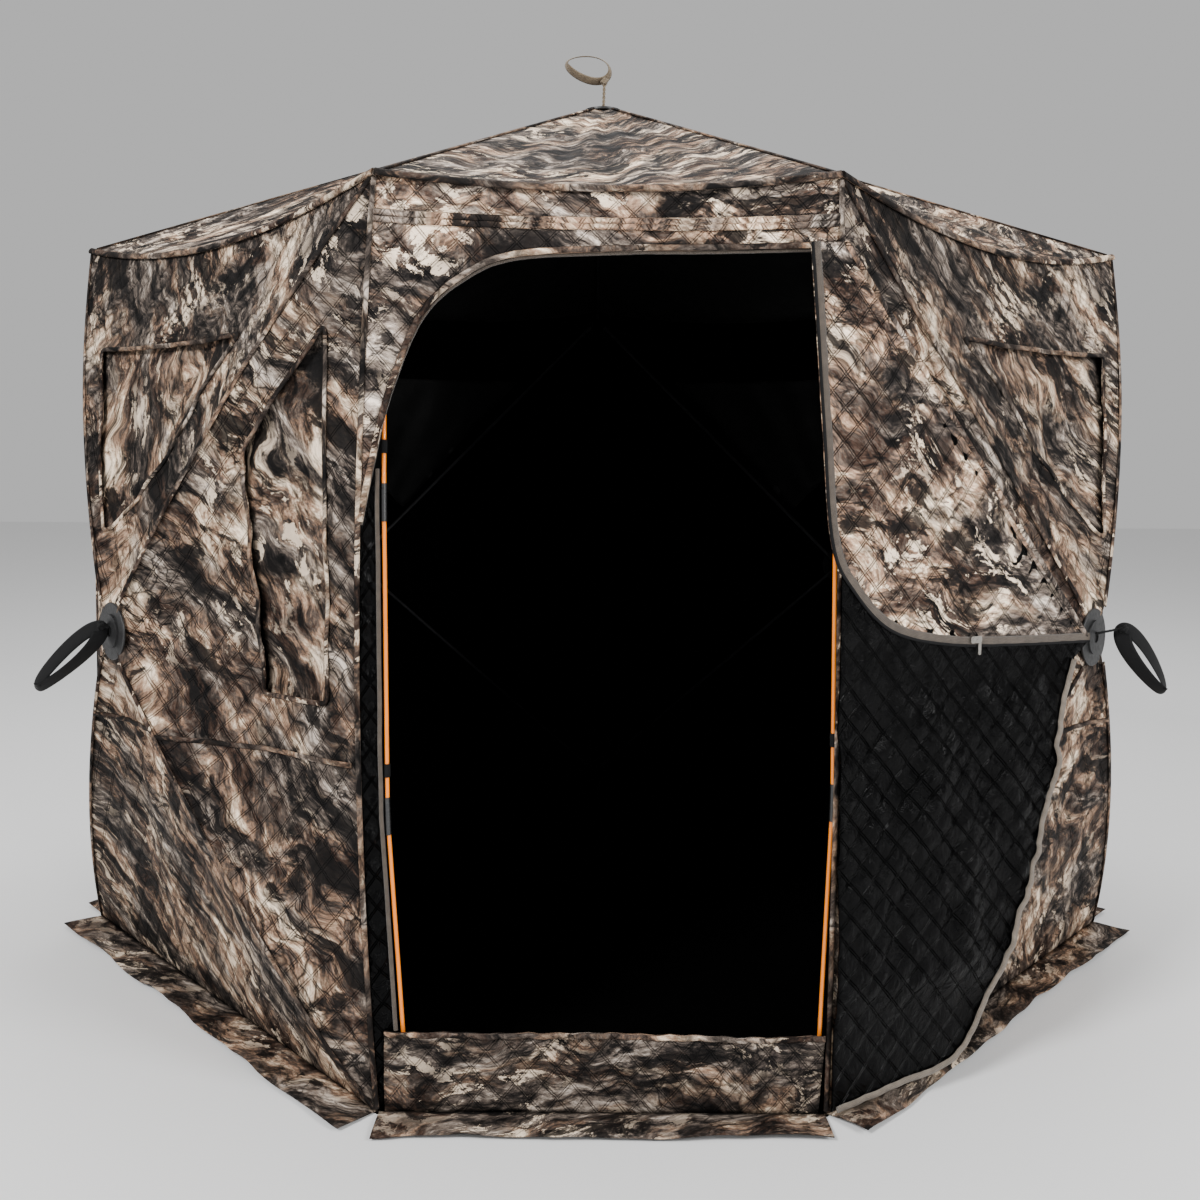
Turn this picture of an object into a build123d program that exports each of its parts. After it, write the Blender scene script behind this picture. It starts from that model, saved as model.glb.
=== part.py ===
from build123d import *
import os
from math import atan2, cos, degrees, hypot, radians, sin, tan

os.makedirs("parts", exist_ok=True)

# ---- driving dimensions, mm ------------------------------------------------
H = 1680.0          # wall height
HALF_DOOR = 405.0   # half the width of the door wall
SIDE = 856.0        # depth from the door wall to the side corners
APEX = 2040.0       # height of the roof peak
HUB_Z = 829.0       # height of the wall hubs
OUT = 229.0         # how far a wall hub stands out of its wall's plane
T = 4.0             # quilted cloth thickness
SKIRT = 90.0        # ground skirt width
FRONT_SKIRT = 80.0
Y0 = -1050.5        # the door wall's y, which centres the footprint on the origin
ROD_R = 4.5
PIN_R = 2.5
HUB_R = 46.0
PIVOT_R = 34.0      # radius of the rod pivots in a hub
PIVOT_OUT = 188.0   # how far out of the wall plane a wall hub's pivots are
TIP_IN = 30.0       # rod tips sit this far inside the wall plane
TIP_BACK = 90.0     # and this far from the corner, along the rod
ROOF_TIP_BACK = 60.0
SMALL = 0.07        # the hub patch is this share of the wall's size
ROOF_SMALL = 0.05

reach = HALF_DOOR + SIDE
FL = (-HALF_DOOR, Y0)
FR = (HALF_DOOR, Y0)
RC = (reach, Y0 + SIDE)
BC = (0.0, Y0 + SIDE + reach)
LC = (-reach, Y0 + SIDE)


def sub(a, b):
    return (a[0] - b[0], a[1] - b[1])


def unit(a):
    n = hypot(*a)
    return (a[0] / n, a[1] / n)


def save(part, name):
    part.label = name
    export_step(part, "parts/" + name + ".step")
    print(name, round(part.volume), len(part.solids()))


class Wall:
    """A wall's own frame: x along the ground from its left end, seen from outside, y up, z out."""

    def __init__(self, a, b):
        self.a, self.u = a, unit(sub(b, a))
        self.length = hypot(*sub(b, a))
        self.n = (self.u[1], -self.u[0])

    def plane(self, out=0.0):
        o = (self.a[0] + self.n[0] * out, self.a[1] + self.n[1] * out, 0)
        return Plane(origin=o, x_dir=(*self.u, 0), z_dir=(*self.n, 0))

    def at(self, x, y, out):
        return Vector(self.a[0] + self.u[0] * x + self.n[0] * out,
                      self.a[1] + self.u[1] * x + self.n[1] * out, y)


walls = {
    "left": Wall(LC, FL),
    "right": Wall(FR, RC),
    "back_left": Wall(BC, LC),
    "back_right": Wall(RC, BC),
}


def shrink(points, apex, share):
    return [(apex[0] + share * (x - apex[0]), apex[1] + share * (y - apex[1])) for x, y in points]


def polygon(points):
    Polygon(*points, align=None)


def bulge(wall, inset, drop):
    """The pyramid between a wall's plane and its hub, moved in by drop."""
    e = inset
    base = [(e, 0), (wall.length - e, 0), (wall.length - e, H), (e, H)]
    apex = (wall.length / 2, HUB_Z)
    with BuildPart() as solid:
        with BuildSketch(wall.plane(-drop)):
            polygon(base)
        with BuildSketch(wall.plane(OUT * (1 - SMALL) - drop)):
            polygon(shrink(base, apex, SMALL))
        loft(ruled=True)
    return solid.part


def window_outlines(wall, name, grow=0.0):
    """The two windows of a wall: a triangle on its upper facet and a tall one on the facet at the front end."""
    # measured from the wall's front end, then turned to the wall's own x
    upper = [(330, 1430), (968, 1430), (716, 1018)]
    tall = [(73, 1423), (257, 1193), (250, 737), (68, 738)]
    k = (wall.length - 200) / 1011.0 if wall.length > 1300 else 1.0
    upper = [(100 + (x - 100) * k, z) for x, z in upper]
    flip = name in ("left", "back_left")
    out = []
    for pts in (upper, tall):
        cx = sum(p[0] for p in pts) / len(pts)
        cz = sum(p[1] for p in pts) / len(pts)
        grown = []
        for x, z in pts:
            d = hypot(x - cx, z - cz)
            f = (d + grow) / d
            x, z = cx + (x - cx) * f, cz + (z - cz) * f
            grown.append((wall.length - x if flip else x, z))
        out.append(grown)
    return out


# ---- the four hub walls, each one sewn skin with its window openings --------
for name, wall in walls.items():
    outer, inner = bulge(wall, 6, 0), bulge(wall, 6, T)
    with BuildPart() as skin:
        add(outer)
        add(inner, mode=Mode.SUBTRACT)
        for pts in window_outlines(wall, name):
            with BuildSketch(wall.plane(-60)):
                polygon(pts)
            extrude(amount=400, mode=Mode.SUBTRACT)
        with BuildSketch(wall.plane(100)):
            with Locations((wall.length / 2, HUB_Z)):
                Circle(14)
        extrude(amount=200, mode=Mode.SUBTRACT)
    skin.part.label = "wall_" + name
    save(skin.part, "wall_" + name)

    # the covers that hang behind the windows, following the wall's slope
    outer, inner = bulge(wall, 20, 13), bulge(wall, 20, 15.5)
    with BuildPart() as covers:
        add(outer)
        add(inner, mode=Mode.SUBTRACT)
        with BuildSketch(wall.plane(-60)):
            for pts in window_outlines(wall, name, 14.0):
                polygon(pts)
        extrude(amount=400, mode=Mode.INTERSECT)
    covers.part.label = "window_covers_" + name
    save(covers.part, "window_covers_" + name)

# ---- roof -------------------------------------------------------------------
corners = [FL, FR, RC, BC, LC]
peak = (0.0, Y0 + SIDE)
rise = APEX - H


def roof_pyramid(drop):
    with BuildPart() as solid:
        with BuildSketch(Plane.XY.offset(H - drop)):
            polygon(corners)
        with BuildSketch(Plane.XY.offset(H + rise * (1 - ROOF_SMALL) - drop)):
            polygon(shrink(corners, peak, ROOF_SMALL))
        loft(ruled=True)
    return solid.part


roof_top = H + rise * (1 - ROOF_SMALL)
outer, inner = roof_pyramid(0), roof_pyramid(T)
with BuildPart() as roof:
    add(outer)
    add(inner, mode=Mode.SUBTRACT)
    with BuildSketch(Plane.XY.offset(H + 100)):
        with Locations(peak):
            Circle(14)
    extrude(amount=400, mode=Mode.SUBTRACT)
roof.part.label = "roof"
save(roof.part, "roof")

# ---- door wall --------------------------------------------------------------
door_wall = Wall(FL, FR)
with BuildPart() as front_header:
    with BuildSketch(door_wall.plane(0)):
        with BuildLine():
            Polyline((9, 1180), (9, H), (801, H), (801, 1560), (467, 1557), (256, 1544))
            Spline((256, 1544), (150, 1502), (77, 1433), (32, 1320), (19, 1230), (15, 1180),
                   tangents=((-1, -0.12), (0, -1)))
            Line((15, 1180), (9, 1180))
        make_face()
    extrude(amount=-3)
front_header.part.label = "front_header"
save(front_header.part, "front_header")

with BuildPart() as threshold_panel:
    with BuildSketch(door_wall.plane(0)):
        polygon([(14, 0), (796, 0), (803, 143), (24, 148)])
    extrude(amount=-4)
threshold_panel.part.label = "threshold_panel"
save(threshold_panel.part, "threshold_panel")

with BuildPart() as door_jamb:
    with BuildSketch(door_wall.plane(-5)):
        polygon([(7, 150), (26, 150), (26, 1175), (7, 1175)])
    extrude(amount=-3)
door_jamb.part.label = "door_jamb_lining"
save(door_jamb.part, "door_jamb_lining")

# half the zip stays on the wall, along the doorway's left edge
with BuildPart() as zip_tape:
    with BuildSketch(door_wall.plane(-3.2)):
        polygon([(14, 150), (20, 150), (20, 1175), (14, 1175)])
    extrude(amount=-1.6)
zip_tape.part.label = "door_zip_tape"
save(zip_tape.part, "door_zip_tape")

# ---- ground skirt, flat strips outside the walls ----------------------------
with BuildPart() as skirt:
    for a, b, wide in ((LC, FL, SKIRT), (FR, RC, SKIRT), (RC, BC, SKIRT), (BC, LC, SKIRT)):
        w = Wall(a, b)
        with BuildSketch(Plane.XY):
            polygon([(v.X, v.Y) for v in (w.at(4, 0, 2), w.at(w.length - 4, 0, 2),
                                          w.at(w.length - 0.5, 0, wide), w.at(0.5, 0, wide))])
        extrude(amount=3)
    with BuildSketch(Plane.XY):
        polygon([(v.X, v.Y) for v in (door_wall.at(4, 0, 2), door_wall.at(806, 0, 2),
                                      door_wall.at(809, 0, FRONT_SKIRT), door_wall.at(1, 0, FRONT_SKIRT))])
    extrude(amount=3)
skirt.part.label = "ground_skirt"
save(skirt.part, "ground_skirt")

# ---- door uprights: sectioned rods, ferrules and tabs ------------------------
pole_y = Y0 + 15.0
pole_lines = {
    "left": [(-391, 1640), (-393, 1105), (-388, 541), (-352, 12)],
    "right": [(396, 1640), (407, 1150), (411, 570), (389, 12)],
}
with BuildPart() as poles:
    for line in pole_lines.values():
        for (x0, z0), (x1, z1) in zip(line, line[1:]):
            a, b = Vector(x0, pole_y, z0), Vector(x1, pole_y, z1)
            d = b - a
            with BuildSketch(Plane(origin=a, z_dir=d)):
                Circle(4.0)
            extrude(amount=d.length)
poles.part.label = "door_poles"
save(poles.part, "door_poles")

with BuildPart() as ferrules:
    for line in pole_lines.values():
        for k in (1, 2):
            (x0, z0), (x1, z1) = line[k - 1], line[k + 1]
            d = Vector(x1 - x0, 0, z1 - z0).normalized()
            o = Vector(line[k][0], pole_y, line[k][1]) - d * 34
            with BuildSketch(Plane(origin=o, z_dir=d)):
                Circle(5.6)
                Circle(4.0, mode=Mode.SUBTRACT)
            extrude(amount=68)
ferrules.part.label = "pole_ferrules"
save(ferrules.part, "pole_ferrules")


def on_line(line, z):
    for (x0, z0), (x1, z1) in zip(line, line[1:]):
        if z1 <= z <= z0:
            return x0 + (x1 - x0) * (z0 - z) / (z0 - z1)


with BuildPart() as tabs:
    for side, z in (("left", 1204), ("left", 624), ("right", 684), ("right", 1300)):
        x = on_line(pole_lines[side], z)
        with BuildSketch(Plane.XY.offset(z - 12)):
            with Locations((x, pole_y)):
                Circle(6.0)
                Circle(4.0, mode=Mode.SUBTRACT)
        extrude(amount=24)
tabs.part.label = "pole_tabs"
save(tabs.part, "pole_tabs")

# ---- pockets sewn into the corners for the rod tips --------------------------
with BuildPart() as pockets:
    for wall in walls.values():
        for x in (56, wall.length - 56):
            for z in (74, H - 74):
                with BuildSketch(wall.plane(-12)):
                    with Locations((x, z)):
                        RectangleRounded(44, 52, 8)
                extrude(amount=-3)
pockets.part.label = "corner_pockets"
save(pockets.part, "corner_pockets")


# ---- hubs, pins, caps and rods ------------------------------------------------
def make_hub(centre, axis, spokes, neck, name):
    """A disc about centre, square to axis, with a slot and a cross pin for each spoke direction."""
    base = Plane(origin=centre - axis * 15, z_dir=axis)
    with BuildPart() as hub:
        with BuildSketch(base):
            Circle(HUB_R)
        extrude(amount=30)
        with BuildSketch(base.offset(30)):
            Circle(11)
        extrude(amount=neck)
        for s in spokes:
            side = axis.cross(s)
            with BuildSketch(Plane(origin=centre + s * (PIVOT_R - 19) - axis * 20, x_dir=s, z_dir=axis)):
                with Locations((20, 0)):
                    Rectangle(40, 11)
            extrude(amount=40, mode=Mode.SUBTRACT)
            with BuildSketch(Plane(origin=centre + s * PIVOT_R - side * 12, z_dir=side)):
                Circle(PIN_R)
            extrude(amount=24, mode=Mode.SUBTRACT)
    save(hub.part, "hub_" + name)
    with BuildPart() as pins:
        for s in spokes:
            side = axis.cross(s)
            with BuildSketch(Plane(origin=centre + s * PIVOT_R - side * 12, z_dir=side)):
                Circle(PIN_R)
            extrude(amount=24)
    save(pins.part, "rod_pins_" + name)


def make_rod(pivot, tip, axis, name):
    d = (tip - pivot).normalized()
    with BuildPart() as rod:
        with BuildSketch(Plane(origin=pivot - axis * 4.1, z_dir=axis)):
            Circle(6.4)
        extrude(amount=8.2)
        with BuildSketch(Plane(origin=pivot + d * 3.7, x_dir=axis, z_dir=d)):
            Circle(ROD_R)
        extrude(amount=(tip - pivot).length - 3.7)
        with BuildSketch(Plane(origin=tip - d * 22, x_dir=axis, z_dir=d)):
            Circle(6)
        extrude(amount=22)
        with BuildSketch(Plane(origin=pivot - axis * 8, z_dir=axis)):
            Circle(PIN_R + 0.05)
        extrude(amount=16, mode=Mode.SUBTRACT)
    save(rod.part, name)


joints = []
for name, wall in walls.items():
    axis = Vector(*wall.n, 0)
    mid = wall.length / 2
    centre = wall.at(mid, HUB_Z, PIVOT_OUT)
    ends = {"low_a": (0, 0), "low_b": (wall.length, 0), "high_b": (wall.length, H), "high_a": (0, H)}
    spokes = []
    for end, (x, z) in ends.items():
        d2 = unit((x - mid, z - HUB_Z))
        s = Vector(wall.u[0] * d2[0], wall.u[1] * d2[0], d2[1])
        spokes.append(s)
        far = hypot(x - mid, z - HUB_Z) - TIP_BACK
        pivot = centre + s * PIVOT_R
        tip = wall.at(mid + d2[0] * far, HUB_Z + d2[1] * far, -TIP_IN)
        side = axis.cross(s)
        make_rod(pivot, tip, side, "rod_" + name + "_" + end)
        joints.append(("rod_" + name + "_" + end, pivot, side, atan2(PIVOT_OUT + TIP_IN, far - PIVOT_R)))
    make_hub(centre, axis, spokes, OUT * (1 - SMALL) + 6 - PIVOT_OUT - 15, name)
    top = OUT * (1 - SMALL) + 0.3
    with BuildPart() as cap:
        with BuildSketch(wall.plane(top)):
            with Locations((mid, HUB_Z)):
                Circle(58)
                Circle(11, mode=Mode.SUBTRACT)
        extrude(amount=5)
        with BuildSketch(wall.plane(top + 5)):
            with Locations((mid, HUB_Z)):
                Circle(34)
                Circle(11.0, mode=Mode.SUBTRACT)
        extrude(amount=4)
        fillet(cap.edges().filter_by(GeomType.CIRCLE).group_by(SortBy.RADIUS)[-1], 1.5)
    save(cap.part, "hub_cap_" + name)

axis = Vector(0, 0, 1)
roof_pivot_z = roof_top - 27
centre = Vector(peak[0], peak[1], roof_pivot_z)
spokes = []
roof_tip_z = H - TIP_IN
for end, c in zip(("front_left", "front_right", "right", "back", "left"), corners):
    d2 = unit(sub(c, peak))
    s = Vector(*d2, 0)
    spokes.append(s)
    far = hypot(*sub(c, peak)) - ROOF_TIP_BACK
    pivot = centre + s * PIVOT_R
    tip = Vector(peak[0] + d2[0] * far, peak[1] + d2[1] * far, roof_tip_z)
    side = axis.cross(s)
    make_rod(pivot, tip, side, "rod_roof_" + end)
    joints.append(("rod_roof_" + end, pivot, side, atan2(roof_pivot_z - roof_tip_z, far - PIVOT_R)))
make_hub(centre, axis, spokes, roof_top + 6 - roof_pivot_z - 15, "roof")
with BuildPart() as cap:
    with BuildSketch(Plane.XY.offset(roof_top + 0.3)):
        with Locations(peak):
            Circle(46)
            Circle(11, mode=Mode.SUBTRACT)
    extrude(amount=5)
    with BuildSketch(Plane.XY.offset(roof_top + 5.3)):
        with Locations(peak):
            Circle(26)
            Circle(11, mode=Mode.SUBTRACT)
    extrude(amount=4)
save(cap.part, "hub_cap_roof")

# ---- pull straps ---------------------------------------------------------------
strap_y = Y0 + 266.0


def pull_strap(x, z, half_long, half_wide, angle, y, wide, points, r, knot, name):
    """A webbing loop with its wide side along y, and the knotted cord that ties it to the hub cap."""
    with BuildPart() as strap:
        with BuildSketch(Plane(origin=(x, y + wide / 2, z), x_dir=(1, 0, 0), z_dir=(0, -1, 0))):
            Ellipse(half_long, half_wide, rotation=angle)
            Ellipse(half_long - 3, half_wide - 3, rotation=angle, mode=Mode.SUBTRACT)
        extrude(amount=wide)
        for a, b in zip(points, points[1:]):
            with BuildSketch(Plane(origin=a, z_dir=b - a)):
                Circle(r)
            extrude(amount=(b - a).length)
        with Locations(points[-1]):
            if name == "pull_strap_right":
                Cylinder(knot, 16, rotation=(90, 0, 0))
            else:
                Sphere(knot)
    save(strap.part, name)


out = OUT * (1 - SMALL) + 9.5
pull_strap(-1070, 776, 90, 17, 42.8, strap_y, 24,
           [walls["left"].at(walls["left"].length / 2, HUB_Z + 8, out), Vector(-1003, strap_y, 842)],
           3, 5, "pull_strap_left")
pull_strap(1085, 783, 74, 17, 123.7, strap_y, 24,
           [walls["right"].at(walls["right"].length / 2, HUB_Z + 8, out), Vector(1040, strap_y - 2, 849)],
           3, 7, "pull_strap_right")
pull_strap(-36, 2132, 54, 27, -12, peak[1], 25,
           [Vector(2, peak[1], roof_top + 9.5), Vector(4, peak[1], 2100)], 2.5, 8, "pull_strap_roof")

# ---- door: swung open against the right wall, its upper corner folded over ------
# its own frame: x away from the hinge, y up, z towards the lining side
open_angle = 45.0 - degrees(atan2(OUT, walls["right"].length / 2))
hinge = Vector(HALF_DOOR + 4, Y0 - 16, 0)
dx = Vector(cos(radians(open_angle)), sin(radians(open_angle)), 0)
dn = Vector(dx.Y, -dx.X, 0)


def door_plane(out):
    return Plane(origin=hinge + dn * out, x_dir=dx, z_dir=dn)


FOLD_TOP = (0.0, 1560.0)
FOLD_END = (600.0, 829.0)
fd = unit(sub(FOLD_END, FOLD_TOP))


def beside(share, gap):
    """A point on the fold line, moved down and left of it by gap."""
    x = FOLD_TOP[0] + (FOLD_END[0] - FOLD_TOP[0]) * share
    z = FOLD_TOP[1] + (FOLD_END[1] - FOLD_TOP[1]) * share
    return (x + fd[1] * gap, z - fd[0] * gap)


with BuildPart() as door_panel:
    with BuildSketch(door_plane(-2)):
        polygon([(4, 17), (291, 60), (420, 312), (520, 690), beside(0.885, 3), beside(0.02, 3)])
    extrude(amount=4)
door_panel.part.label = "door_panel"
save(door_panel.part, "door_panel")

with BuildPart() as door_flap:
    with BuildSketch(door_plane(4)):
        polygon([beside(0.0, 4), (-20, 1550), (-20, 1440), (-17, 1037), (27, 954), (113, 880), (247, 846),
                 (500, 838), beside(0.86, 4)])
    extrude(amount=4)
door_flap.part.label = "door_flap"
save(door_flap.part, "door_flap")

with BuildPart() as slider:
    with BuildSketch(door_plane(8.4)):
        with Locations((304, 852)):
            RectangleRounded(26, 13, 4)
        with Locations((312, 838)):
            RectangleRounded(7, 30, 3)
    extrude(amount=4)
slider.part.label = "zip_slider"
save(slider.part, "zip_slider")

for n, p, a, t in joints:
    print("JOINT", n, [round(v / 1000, 6) for v in (p.X, p.Y, p.Z)], [round(v, 6) for v in (a.X, a.Y, a.Z)], round(t, 6))
fold_p = hinge + dx * FOLD_TOP[0] + Vector(0, 0, FOLD_TOP[1]) + dn * 3
fold_a = dx * fd[0] + Vector(0, 0, fd[1])
print("FOLD", [round(v / 1000, 6) for v in (fold_p.X, fold_p.Y, fold_p.Z)], [round(v, 6) for v in (fold_a.X, fold_a.Y, fold_a.Z)])
print("HINGE", [round(v / 1000, 6) for v in (hinge.X, hinge.Y, hinge.Z)], open_angle, [round(v, 6) for v in (dx.X, dx.Y, dx.Z)])
for n, w in walls.items():
    print("WALL", n, [round(v, 6) for v in w.n], round(w.length, 3))
print("ROOF", roof_pivot_z, roof_tip_z, roof_top)
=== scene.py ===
import math

import bpy
import numpy as np
from mathutils import Matrix, Vector, geometry


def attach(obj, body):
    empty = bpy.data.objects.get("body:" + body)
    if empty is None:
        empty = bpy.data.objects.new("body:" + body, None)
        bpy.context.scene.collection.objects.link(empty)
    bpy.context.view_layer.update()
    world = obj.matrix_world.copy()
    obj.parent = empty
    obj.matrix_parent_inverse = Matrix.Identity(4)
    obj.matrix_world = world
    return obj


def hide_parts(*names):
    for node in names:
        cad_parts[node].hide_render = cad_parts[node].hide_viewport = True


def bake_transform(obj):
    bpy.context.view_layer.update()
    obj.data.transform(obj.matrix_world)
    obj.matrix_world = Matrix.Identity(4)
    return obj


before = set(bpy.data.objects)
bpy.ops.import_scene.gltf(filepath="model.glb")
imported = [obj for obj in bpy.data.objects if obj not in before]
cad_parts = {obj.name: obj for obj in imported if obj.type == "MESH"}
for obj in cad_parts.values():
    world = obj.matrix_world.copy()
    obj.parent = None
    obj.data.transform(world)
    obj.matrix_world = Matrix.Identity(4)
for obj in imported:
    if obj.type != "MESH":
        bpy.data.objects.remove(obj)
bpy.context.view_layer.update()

# ---------------------------------------------------------------- dimensions, m
H, HALF, SIDE, Y0 = 1.68, 0.405, 0.856, -1.0505
HUB_Z, OUT = 0.829, 0.229
PEAK = np.array([0.0, Y0 + SIDE, 2.028])
REACH = HALF + SIDE
FL, FR = np.array([-HALF, Y0]), np.array([HALF, Y0])
RC, BC, LC = np.array([REACH, Y0 + SIDE]), np.array([0.0, Y0 + SIDE + REACH]), np.array([-REACH, Y0 + SIDE])
T0, T1 = 0.10, 1.06


# ---------------------------------------------------------------- noise
def vnoise(x, y, seed=0):
    x, y = np.asarray(x, float), np.asarray(y, float)
    xi, yi = np.floor(x).astype(np.int64), np.floor(y).astype(np.int64)
    fx, fy = x - xi, y - yi
    fx, fy = fx * fx * (3 - 2 * fx), fy * fy * (3 - 2 * fy)

    def h(a, b):
        n = (a * 374761393 + b * 668265263 + seed * 144665) & 0xFFFFFFFF
        n = ((n ^ (n >> 13)) * 1274126177) & 0xFFFFFFFF
        return ((n ^ (n >> 16)) & 0xFFFF) / 32767.5 - 1

    return ((h(xi, yi) * (1 - fx) + h(xi + 1, yi) * fx) * (1 - fy)
            + (h(xi, yi + 1) * (1 - fx) + h(xi + 1, yi + 1) * fx) * fy)


def fbm(x, y, seed=0, octaves=3):
    return sum(vnoise(x * 2 ** k, y * 2 ** k, seed + k * 17) / 2 ** k for k in range(octaves))


QP, QQ = 0.050, 0.058


def quilt(u, v, amp):
    a, b = u / QP + v / QQ, u / QP - v / QQ
    d = np.abs(np.sin(np.pi * a) * np.sin(np.pi * b))
    return amp * (d ** 0.45 - 0.6)


# ---------------------------------------------------------------- meshes
def inside(px, py, loop):
    loop = np.asarray(loop)
    res = np.zeros(len(px), bool)
    x0, y0 = loop[:, 0], loop[:, 1]
    x1, y1 = np.roll(x0, -1), np.roll(y0, -1)
    for a, b, c, d in zip(x0, y0, x1, y1):
        hit = (b > py) != (d > py)
        with np.errstate(divide="ignore", invalid="ignore"):
            xx = (c - a) * (py - b) / (d - b) + a
        res ^= hit & (px < xx)
    return res


def dense(loop, step):
    out = []
    n = len(loop)
    for i in range(n):
        a, b = np.array(loop[i], float), np.array(loop[(i + 1) % n], float)
        if tuple(b) < tuple(a):
            k = max(1, int(round(np.linalg.norm(a - b) / step)))
            pts = [b + (a - b) * j / k for j in range(k + 1)][::-1]
        else:
            k = max(1, int(round(np.linalg.norm(a - b) / step)))
            pts = [a + (b - a) * j / k for j in range(k + 1)]
        out += pts[:-1]
    return np.array(out)


def patch(name, loop, holes, step, place):
    """A cloth panel: loop and holes are flat outlines in metres, place maps flat points to the row frame."""
    rings = [dense(loop, step)] + [dense(h, step) for h in holes]
    lo, hi = rings[0].min(0), rings[0].max(0)
    gx = np.arange(lo[0], hi[0], step)
    gy = np.arange(lo[1], hi[1], step * 0.9)
    X, Y = np.meshgrid(gx, gy)
    X = X + (np.arange(len(gy)) % 2)[:, None] * step / 2
    pts = np.stack([X.ravel(), Y.ravel()], 1)
    keep = inside(pts[:, 0], pts[:, 1], rings[0])
    for r in rings[1:]:
        keep &= ~inside(pts[:, 0], pts[:, 1], r)
    pts = pts[keep]
    edge = np.concatenate(rings)
    near = np.zeros(len(pts), bool)
    for i in range(0, len(pts), 2000):
        d = ((pts[i:i + 2000, None, :] - edge[None]) ** 2).sum(2).min(1)
        near[i:i + 2000] = d < (0.5 * step) ** 2
    pts = pts[~near]
    allp = np.concatenate([edge, pts])
    edges, at = [], 0
    for r in rings:
        edges += [(at + i, at + (i + 1) % len(r)) for i in range(len(r))]
        at += len(r)
    vs, _, fs, _, _, _ = geometry.delaunay_2d_cdt([Vector(p) for p in allp], edges, [], 0, 1e-6)
    vs = np.array([[v.x, v.y] for v in vs])
    fs = np.array([f for f in fs if len(f) == 3])
    c = vs[fs].mean(1)
    good = inside(c[:, 0], c[:, 1], rings[0])
    for r in rings[1:]:
        good &= ~inside(c[:, 0], c[:, 1], r)
    fs = fs[good]
    used = np.unique(fs)
    new = -np.ones(len(vs), int)
    new[used] = np.arange(len(used))
    vs, fs = vs[used], new[fs]
    co = place(vs[:, 0], vs[:, 1])
    return make(name, co, fs, vs)


def make(name, co, faces, uv=None, smooth=True):
    me = bpy.data.meshes.new(name)
    me.from_pydata([tuple(map(float, p)) for p in co], [], [tuple(int(i) for i in f) for f in faces])
    if uv is not None:
        layer = me.uv_layers.new(name="cloth")
        loops = np.zeros(len(me.loops), np.int32)
        me.loops.foreach_get("vertex_index", loops)
        layer.data.foreach_set("uv", np.asarray(uv, np.float32)[loops].ravel())
    if smooth:
        me.polygons.foreach_set("use_smooth", [True] * len(me.polygons))
    me.update()
    o = bpy.data.objects.new(name, me)
    bpy.context.scene.collection.objects.link(o)
    return o


def both(obj, outer, inner, thick=0.004):
    """Gives a cloth panel its thickness, with a second material inside."""
    obj.data.materials.append(outer)
    obj.data.materials.append(inner)
    m = obj.modifiers.new("thickness", "SOLIDIFY")
    m.thickness, m.offset, m.material_offset, m.material_offset_rim = thick, -1, 1, 0
    return obj


def smooth_path(pts, n):
    """Points evenly along a Catmull-Rom curve."""
    p = np.array(pts, float)
    p = np.vstack([2 * p[0] - p[1], p, 2 * p[-1] - p[-2]])
    out = []
    for i in range(1, len(p) - 2):
        for t in np.linspace(0, 1, 24, endpoint=False):
            a, b, c, d = p[i - 1], p[i], p[i + 1], p[i + 2]
            out.append(0.5 * (2 * b + (c - a) * t + (2 * a - 5 * b + 4 * c - d) * t * t + (3 * b - a - 3 * c + d) * t ** 3))
    out.append(p[-2])
    out = np.array(out)
    s = np.concatenate([[0], np.cumsum(np.linalg.norm(np.diff(out, axis=0), axis=1))])
    q = np.linspace(0, s[-1], n)
    return np.stack([np.interp(q, s, out[:, k]) for k in range(out.shape[1])], 1)


def tube(name, pts, wide, high, normal, closed=False, sides=8, mat=None):
    """A cord or piping of oval section along pts. normal is a vector, or one per point, that the narrow side follows."""
    pts = np.array(pts, float)
    n = len(pts)
    tan = np.roll(pts, -1, 0) - np.roll(pts, 1, 0)
    if not closed:
        tan[0], tan[-1] = pts[1] - pts[0], pts[-1] - pts[-2]
    tan /= np.linalg.norm(tan, axis=1)[:, None] + 1e-12
    nor = np.broadcast_to(np.array(normal, float), (n, 3)).copy()
    nor -= (nor * tan).sum(1)[:, None] * tan
    nor /= np.linalg.norm(nor, axis=1)[:, None] + 1e-12
    side = np.cross(tan, nor)
    ang = np.linspace(0, 2 * math.pi, sides, endpoint=False)
    co = (pts[:, None] + side[:, None] * np.cos(ang)[None, :, None] * wide / 2
          + nor[:, None] * np.sin(ang)[None, :, None] * high / 2).reshape(-1, 3)
    s = np.concatenate([[0], np.cumsum(np.linalg.norm(np.diff(pts, axis=0), axis=1))])
    uv = np.stack([np.repeat(s, sides), np.tile(ang / (2 * math.pi) * 2 * wide, n)], 1)
    fs = []
    for i in range(n if closed else n - 1):
        j = (i + 1) % n
        for k in range(sides):
            l = (k + 1) % sides
            fs.append((i * sides + k, j * sides + k, j * sides + l, i * sides + l))
    if not closed:
        fs += [tuple(range(sides))[::-1], tuple((n - 1) * sides + k for k in range(sides))]
    o = make(name, co, fs, uv)
    if mat:
        o.data.materials.append(mat)
    return o


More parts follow.
